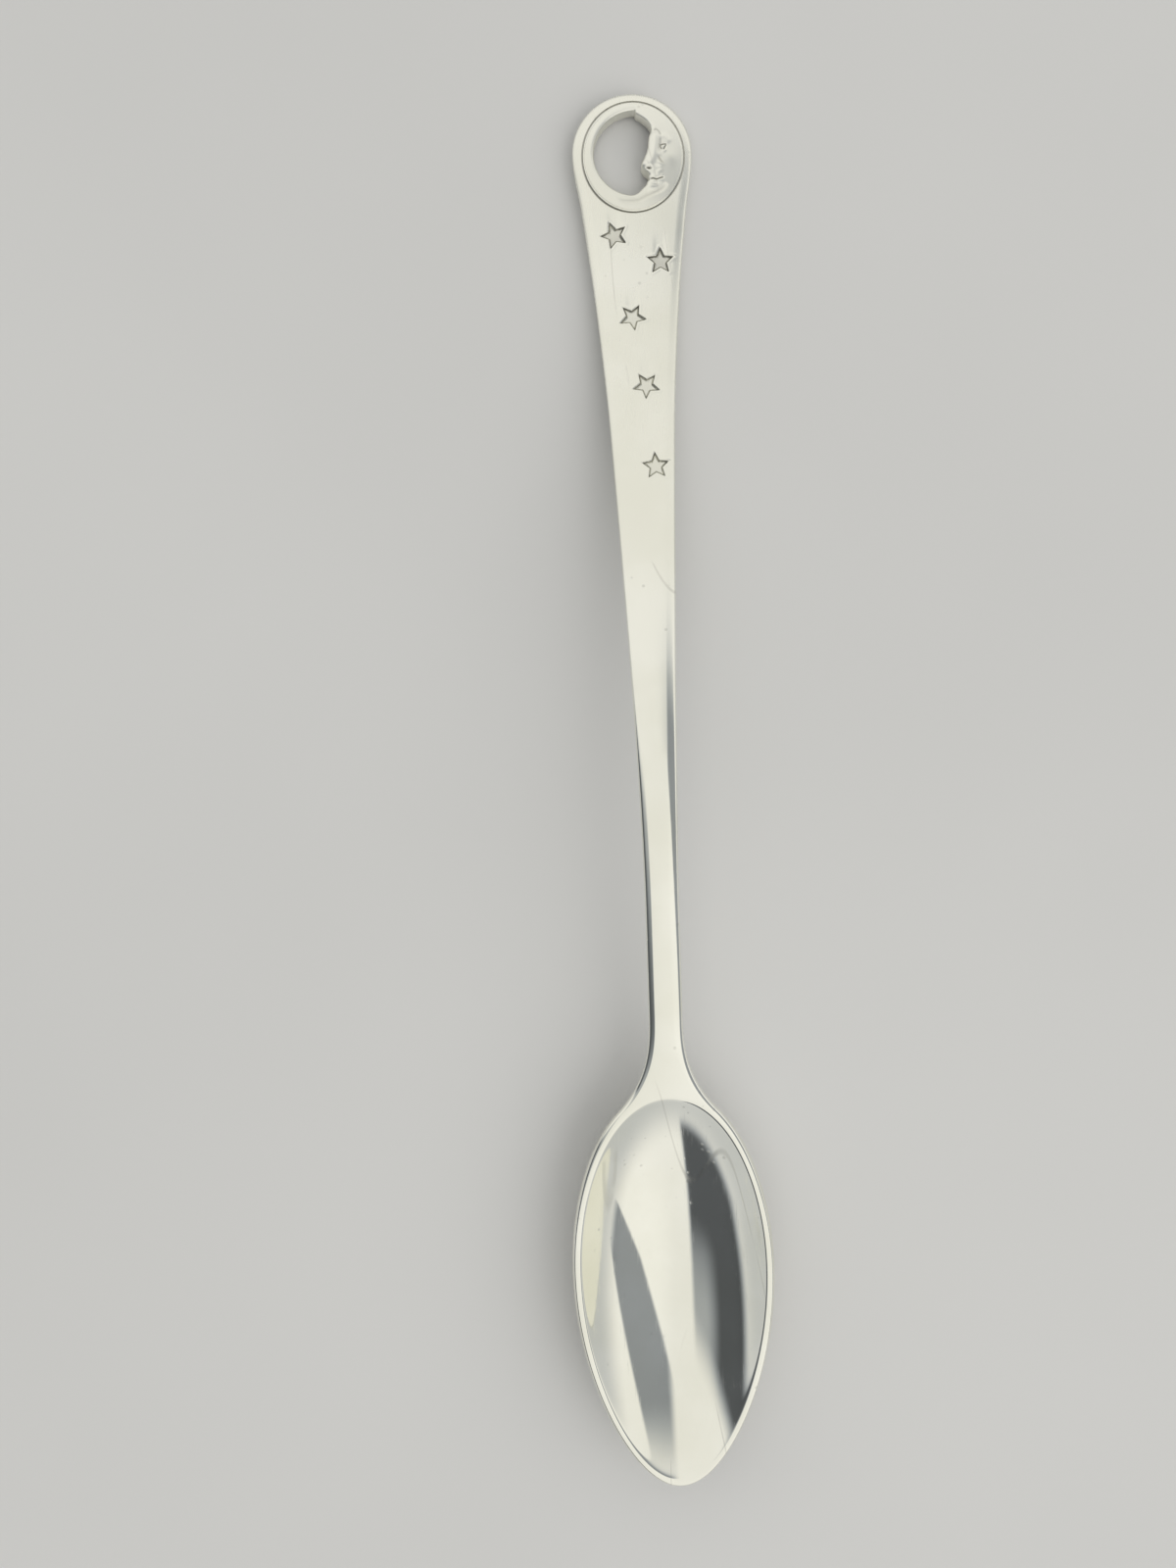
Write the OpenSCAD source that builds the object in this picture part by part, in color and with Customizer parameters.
// Long-handled baby spoon in polished silver, with a crescent moon set in its round handle end
// and five stars struck into the handle. Y runs along the spoon with the moon at +Y, Z is up.
// The spoon rests on Z = 0 with the bottom of its bowl and the flat back of its round end.

/* [Spoon] */
// Length over all
spoon_len = 146; // [120:1:170]
// Height of the crest of the handle above the table
crest_h = 10.6; // [8.5:0.1:15]
// Distance of the crest from the middle of the spoon, toward the bowl
crest_off = 4; // [0:0.5:12]

/* [Bowl] */
// Width over the rim
bowl_w = 20.9; // [17:0.1:26]
// Length from the tip to the root of the shoulders
bowl_len = 41.5; // [36:0.5:48]
// Height of the rim above the table
bowl_h = 6.5; // [5:0.1:8]
// Thickness of the bowl at its lowest point
bowl_floor = 1.1; // [0.8:0.05:1.6]
// Width of the lip along the rim
lip_w = 0.85; // [0.6:0.05:1.3]
// Height of the lip's outer edge
lip_t = 0.8; // [0.6:0.05:1.2]
// Width of the rounding of the lip's outer edge
lip_round = 0.35; // [0.2:0.05:0.5]
// Depth of the land between the shoulders and the edge of the hollow
land_len = 1.1; // [0.6:0.1:3]
// Length of the curve from the shoulders to the neck
shoulder_len = 10; // [7:0.5:14]

/* [Handle] */
// Diameter of the round end
end_d = 12.7; // [11.8:0.1:16]
// Thickness of the round end
end_t = 2; // [1.7:0.1:3]
// Length of the level stretch at the round end
level_len = 15; // [13.5:0.5:20]
// Length of the taper from the middle of the round end to the neck
taper_len = 80; // [60:1:84]
// Width of the neck
neck_w = 3.45; // [2.8:0.05:5]
// Thickness of the neck
neck_t = 2.8; // [2.2:0.1:4]
// Width of the rounding along the top edges
edge_w = 1; // [0.4:0.05:1.2]
// Height of the rounding along the top edges
edge_h = 0.45; // [0.3:0.05:0.8]
// Length of the scarf joint between handle and bowl
scarf_len = 7; // [5:0.5:10]

/* [Stars] */
// Radius of a star over its points
star_r = 1.45; // [1:0.05:1.6]
// Depth of a star
star_depth = 0.45; // [0.2:0.05:0.7]

/* [Moon] */
// Diameter of the seat for the bezel ring in the round end
seat_d = 11.3; // [10:0.1:11.6]
// Distance of the seat from the middle of the round end, toward the bowl
seat_off = 0.3; // [0:0.05:0.6]
// Thickness of the ledge under the moon
ledge_t = 0.5; // [0.4:0.05:0.8]
// Width of the ledge under the moon
ledge_w = 0.7; // [0.5:0.05:0.8]
// Wall of the bezel ring
bezel_t = 0.3; // [0.2:0.02:0.4]
// Height of the bezel ring above the round end
bezel_rise = 0.12; // [0.05:0.01:0.3]
// Solder gap round the bezel ring and round the moon
solder_gap = 0.03; // [0.02:0.01:0.05]
// Height of the moon's edge above its ledge
moon_edge = 1.4; // [1:0.05:1.6]
// Rise of the moon's dome from its edge to its middle
moon_dome = 0.9; // [0.5:0.05:1.4]
// Radius of the opening that leaves the crescent
hole_r = 4.45; // [4:0.05:4.6]
// Distance of the opening from the middle of the round end, toward the face
hole_off = 0.35; // [0:0.05:0.5]
// Depth of the eye and the mouth
line_depth = 0.3; // [0.15:0.05:0.5]

/* [Hidden] */
// How far a cut runs past a face
overrun = 1;
// Steps along each stretch of a loft
stretch_steps = 9;
// Steps round the handle's end
turn_steps = 40;
// Steps from the moon's edge to the middle of its dome
dome_steps = 9;
// Steps across the hollow of the bowl
hollow_steps = 20;
tip_y = -spoon_len / 2;
end_y = spoon_len / 2 - end_d / 2;
// The widest place of the bowl, as a share of its length from the tip
widest_share = 0.542;
widest_y = tip_y + bowl_len * widest_share;
root_y = tip_y + bowl_len;
// Where the curve of the shoulders leaves the oval, as a share of the oval's upper half
leave_share = 0.868;
upper_len = root_y - widest_y;
lower_len = widest_y - tip_y;
leave_y = widest_y + upper_len * leave_share;
neck_y = leave_y + shoulder_len;
// The hollow of the bowl runs from inside the lip to the land between the shoulders
hollow_lower = lower_len - lip_w;
hollow_upper = upper_len - land_len;
crest_y = -crest_off;
level_y = spoon_len / 2 - level_len;
// The rim rises toward the handle from here, as a share of the oval's upper half
rise_share = 0.34;
rise_y = widest_y + upper_len * rise_share;
// Narrowing of the pointed end of the oval
point_share = 0.14;
// Taper of the handle: distances from the round end, and what is left there of the spread
taper_y_shares = [0, 0.08, 0.19, 0.33, 0.44, 0.55, 0.75, 1];
taper_w_shares = [1, 0.822, 0.605, 0.408, 0.312, 0.228, 0.092, 0];
// The most of the half width that a rounded edge may take
round_share = 0.8;
// Points across half of the back, from edge to middle
back_shares = [0.98, 0.95, 0.9, 0.8, 0.65, 0.45, 0.22];
// The rounding of the back: its share of the half width at the neck and at the round end
back_neck_share = 1;
back_end_share = 0.1;
// Sections across the lip at the tip, as shares of its width
tip_shares = [0.02, 0.2, 0.55];
// A part of the hollow's depth that is too small to draw
nil_share = 0.000001;
// Stars: place across as a share of the half width, along as a share of the taper, and turn
star_across_shares = [-0.42, 0.53, -0.13, 0.16, 0.37];
star_along_shares = [0.109, 0.145, 0.22, 0.314, 0.424];
star_turns = [19, 0, 187, 176, 3];
star_waist_share = 0.47;
// The face that the opening follows, from brow to chin, as shares of the opening's radius
face_shares = [
  [0.03, 1.02], [0.04, 0.91], [0.15, 0.84], [0.27, 0.745], [0.345, 0.645], [0.385, 0.55], [0.375, 0.46],
  [0.345, 0.38], [0.315, 0.27], [0.3, 0.12], [0.26, -0.045], [0.185, -0.205], [0.135, -0.315],
  [0.145, -0.375], [0.19, -0.445], [0.25, -0.51], [0.3, -0.56], [0.305, -0.6], [0.28, -0.64],
  [0.3, -0.675], [0.265, -0.715], [0.22, -0.8], [0.115, -0.905], [0.03, -0.975], [-0.06, -1.02]
];
behind_shares = [[1.1, -1.02], [1.1, 1.02]];
eye_shares = [[0.575, 0.11], [0.745, 0.15], [0.66, 0.01]];
mouth_shares = [
  [0.365, -0.655], [0.48, -0.665], [0.675, -0.62],
  [0.675, -0.65], [0.48, -0.71], [0.365, -0.69]
];
// How far out the eye and the mouth lie on the dome
eye_share = 0.63;
mouth_share = 0.71;
seat_y = end_y - seat_off;
bezel_r = seat_d / 2 - solder_gap;
moon_r = bezel_r - bezel_t - solder_gap;
scarf_y = neck_y + scarf_len / 2;

function ease(t) = let (u = min(1, max(0, t))) u * u * (3 - 2 * u);
function mix(a, b, t) = a + (b - a) * t;
function hermite(t, a, da, b, db) =
  a * (1 + 2 * t) * (1 - t) * (1 - t) + da * t * (1 - t) * (1 - t)
  + b * t * t * (3 - 2 * t) + db * t * t * (t - 1);

// Slope of a table at its place i, level at both ends
function table_slope(xs, ys, i) =
  i == 0 || i == len(xs) - 1 ? 0 : (ys[i + 1] - ys[i - 1]) / (xs[i + 1] - xs[i - 1]);

// A smooth curve through a table
function through(xs, ys, x, i = 0) =
  x > xs[i + 1] && i < len(xs) - 2 ? through(xs, ys, x, i + 1)
  : let (run = xs[i + 1] - xs[i], t = (x - xs[i]) / run)
    hermite(t, ys[i], table_slope(xs, ys, i) * run, ys[i + 1], table_slope(xs, ys, i + 1) * run);

// Half width of the pointed oval of the bowl
function oval_w(y) =
  let (u = (y - widest_y) / (y > widest_y ? upper_len : lower_len))
  bowl_w / 2 * sqrt(max(0, 1 - u * u)) * (y > widest_y ? 1 : 1 - point_share * u * u);

// Half width of the handle
function taper_w(y) =
  mix(neck_w, end_d, through(taper_y_shares, taper_w_shares, min(1, (end_y - y) / taper_len))) / 2;

// How fast the oval widens where the shoulders leave it
leave_slope = bowl_w / 2 * leave_share / upper_len / sqrt(1 - leave_share * leave_share);

// Half width of the spoon
function half_w(y) =
  y >= neck_y ? taper_w(y)
  : y <= leave_y ? oval_w(y)
  : hermite((neck_y - y) / shoulder_len, neck_w / 2, 0, oval_w(leave_y), leave_slope * shoulder_len);

// Height of the top along the spoon: level rim, crest, level round end
function top_z(y) =
  y < crest_y ? mix(bowl_h, crest_h, ease((y - rise_y) / (crest_y - rise_y)))
  : mix(crest_h, end_t, ease((y - crest_y) / (level_y - crest_y)));
function top_slope(y) = (top_z(y + solder_gap) - top_z(y - solder_gap)) / (2 * solder_gap);

// How much of a place belongs to the bowl: 0 on the handle and 1 on the lip
function lip_part(y) = ease((neck_y - y) / (neck_y - widest_y));
function round_w(y) = min(mix(edge_w, lip_round, lip_part(y)), half_w(y) * round_share);
function round_h(y) = mix(edge_h, lip_t, lip_part(y));

// Depth of the back below the edge, for the bar of the handle and for the oval of the bowl
function bar_depth(y) =
  (mix(neck_t, end_t, ease((y - crest_y) / (level_y - crest_y))) - round_h(y))
  * ease((y - widest_y) / upper_len);
function oval_depth(y) =
  let (u = (y - widest_y) / (y > widest_y ? upper_len : lower_len))
  (bowl_h - lip_t) * max(0, 1 - u * u);
function back_depth(y) = pow(pow(bar_depth(y), 3) + pow(oval_depth(y), 3), 1 / 3);
function back_share(y) = mix(back_neck_share, back_end_share, ease((y - crest_y) / (level_y - crest_y)));

// Depth of the hollow as a share of its greatest, and its half width
function hollow_share(y) =
  let (u = (y - widest_y) / (y > widest_y ? hollow_upper : hollow_lower), left = 1 - u * u)
  left < nil_share ? 0 : left;
function hollow_w(y) =
  (bowl_w / 2 - lip_w) * sqrt(hollow_share(y))
  * (y > widest_y ? 1 : 1 - point_share * (1 - hollow_share(y)));

// Points of the top between its edges, from left to right: one, or many across the hollow
function top_points(y) =
  hollow_share(y) == 0 ? [[0, y, top_z(y)]]
  : [
      for (k = [0 : hollow_steps])
        let (c = -cos(180 * k / hollow_steps))
          [hollow_w(y) * c, y, top_z(y) - (bowl_h - bowl_floor) * hollow_share(y) * (1 - c * c)]
    ];

// Right half of a cross-section from the top edge round to the back, as [x, z]
function half_section(y) =
  let (w = half_w(y), rw = round_w(y), edge_z = top_z(y) - round_h(y), d = back_depth(y), b = back_share(y))
  concat(
    [for (a = [0 : 30 : 90]) [w - rw + rw * sin(a), edge_z + round_h(y) * cos(a)]],
    [for (c = back_shares) let (q = max(0, (c - 1 + b) / b)) [w * c, edge_z - d + d * q * q]]
  );

// Outside of a cross-section from the right top edge round the back to the left top edge
function outside(y) =
  let (half = half_section(y))
  concat(
    [for (p = half) [p[0], y, p[1]]],
    [[0, y, top_z(y) - round_h(y) - back_depth(y)]],
    [for (i = [len(half) - 1 : -1 : 0]) [-half[i][0], y, half[i][1]]]
  );

// Two triangles between the edges a-b and d-c, or one where an edge is a single point
function strip(a, b, c, d) = concat(a == b ? [] : [[a, c, b]], c == d ? [] : [[a, d, c]]);

// A solid through the cross-sections at the places ys, which run toward +Y.
// With turns it is closed by half a turn of the last section, and otherwise by a flat face.
module loft(ys, turns = 0) {
  last = len(ys) - 1;
  half = half_section(ys[last]);
  h = len(half);
  n = 2 * h + 1;
  tops = [for (y = ys) top_points(y)];
  turned = [
    for (k = [1 : 1 : turns - 1])
      let (a = 180 * k / turns)
        each [for (p = half) [p[0] * cos(a), ys[last] + p[0] * sin(a), p[1]]]
  ];
  points = concat([for (y = ys) each outside(y)], turned, [for (t = tops) each t]);
  tops_from = len(points) - len([for (t = tops) each t]);
  // Numbers of the points: round the outside, after k turns, and k steps across the top
  function out(i, j) = i * n + j;
  function turn(k, j) =
    k == 0 ? out(last, j)
    : k == turns ? out(last, n - 1 - j)
    : (last + 1) * n + (k - 1) * h + j;
  function before(i) = i == 0 ? tops_from : before(i - 1) + len(tops[i - 1]);
  function across(i, k) = before(i) + min(k, len(tops[i]) - 1);
  sides = [
    for (i = [0 : last - 1])
      each concat(
        [for (j = [0 : n - 2]) each strip(out(i, j), out(i, j + 1), out(i + 1, j + 1), out(i + 1, j))],
        strip(out(i, n - 1), across(i, 0), across(i + 1, 0), out(i + 1, n - 1)),
        len(tops[i]) + len(tops[i + 1]) == 2 ? []
        : [
            for (k = [0 : hollow_steps - 1])
              each strip(across(i, k), across(i, k + 1), across(i + 1, k + 1), across(i + 1, k))
          ],
        strip(across(i, hollow_steps), out(i, 0), out(i + 1, 0), across(i + 1, hollow_steps))
      )
  ];
  start = concat([across(0, 0)], [for (j = [0 : n - 1]) out(0, j)]);
  flat_end = concat([across(last, 0)], [for (j = [n - 1 : -1 : 0]) out(last, j)]);
  round_end = [
    for (k = [0 : 1 : turns - 1])
      each concat(
        [[across(last, 0), turn(k + 1, 0), turn(k, 0)], [turn(k, h - 1), turn(k + 1, h - 1), out(last, h)]],
        [for (j = [0 : h - 2]) each strip(turn(k, j), turn(k, j + 1), turn(k + 1, j + 1), turn(k + 1, j))]
      )
  ];
  polyhedron(points = points, faces = concat(sides, [start], turns > 0 ? round_end : [flat_end]));
}

// Places from a to b, evenly spaced, without b
function stretch(a, b) = [for (i = [0 : stretch_steps - 1]) mix(a, b, i / stretch_steps)];
neck_ys = concat(stretch(widest_y + hollow_upper, neck_y), stretch(neck_y, crest_y));
bowl_ys = concat(
  [for (t = tip_shares) tip_y + lip_w * t],
  [for (i = [0 : stretch_steps - 1]) widest_y - hollow_lower * cos(90 * i / stretch_steps)],
  [for (i = [0 : stretch_steps - 1]) widest_y + hollow_upper * sin(90 * i / stretch_steps)],
  neck_ys
);
handle_ys = concat(neck_ys, stretch(crest_y, level_y), stretch(level_y, end_y), [end_y]);

// Everything on the bowl's side of the scarf, or on the handle's side
module scarf_side(toward) {
  far = scarf_y + toward * spoon_len;
  low = -overrun;
  high = crest_h + overrun;
  mid = top_z(scarf_y) - neck_t / 2;
  per_height = scarf_len / neck_t;
  translate([-bowl_w / 2, 0, 0])
    rotate([90, 0, 90])
      linear_extrude(bowl_w)
        polygon([
          [scarf_y + (high - mid) * per_height, high],
          [scarf_y + (low - mid) * per_height, low],
          [far, low],
          [far, high]
        ]);
}

module bowl() {
  color("silver")
    difference() {
      loft(bowl_ys);
      scarf_side(1);
    }
}

module star(i) {
  y = end_y - taper_len * star_along_shares[i];
  x = half_w(y) * star_across_shares[i];
  translate([x, y, top_z(y)])
    rotate([atan(top_slope(y)), 0, 0])
      rotate([0, 0, star_turns[i] + 90])
        translate([0, 0, -star_depth])
          linear_extrude(star_depth + overrun)
            polygon([
              for (k = [0 : 9])
                star_r * (k % 2 == 0 ? 1 : star_waist_share) * [cos(36 * k), sin(36 * k)]
            ]);
}

module handle() {
  color("gainsboro")
    difference() {
      loft(handle_ys, turn_steps);
      scarf_side(-1);
      translate([0, seat_y, ledge_t])
        cylinder(d = seat_d, h = end_t + overrun, $fn = 96);
      translate([0, seat_y, -overrun])
        cylinder(d = seat_d - 2 * ledge_w, h = end_t + overrun, $fn = 96);
      for (i = [0 : len(star_turns) - 1]) star(i);
    }
}

module bezel_ring() {
  low = ledge_t;
  high = end_t + bezel_rise;
  inner = bezel_r - bezel_t;
  bevel = bezel_t / 3;
  color("whitesmoke")
    translate([0, seat_y, 0])
      rotate_extrude($fn = 96)
        polygon([
          [inner, low], [bezel_r, low], [bezel_r, high - bevel],
          [bezel_r - bevel, high], [inner + bevel, high], [inner, high - bevel]
        ]);
}

// The opening beside the face
module moon_opening() {
  difference() {
    translate([hole_off, 0, -overrun])
      cylinder(r = hole_r, h = end_t + moon_dome + 2 * overrun, $fn = 96);
    translate([hole_off, 0, -2 * overrun])
      linear_extrude(end_t + moon_dome + 4 * overrun)
        polygon(hole_r * concat(face_shares, behind_shares));
  }
}

// Height of the moon's dome at a share of its radius
function dome_z(share) = ledge_t + moon_edge + moon_dome * (1 - share * share);

// A sunk line or spot of the face, as deep everywhere as where it lies on the dome
module sunk(outline, share) {
  translate([hole_off, 0, dome_z(share) - line_depth])
    linear_extrude(moon_dome + overrun)
      polygon(hole_r * outline);
}

module crescent_moon() {
  color("gainsboro")
    translate([0, end_y, 0])
      difference() {
        translate([0, -seat_off, 0])
          rotate_extrude($fn = 96)
            polygon(concat(
              [[0, ledge_t], [moon_r, ledge_t]],
              [for (i = [dome_steps : -1 : 0]) [moon_r * i / dome_steps, dome_z(i / dome_steps)]]
            ));
        moon_opening();
        sunk(eye_shares, eye_share);
        sunk(mouth_shares, mouth_share);
      }
}

bowl();
handle();
bezel_ring();
crescent_moon();
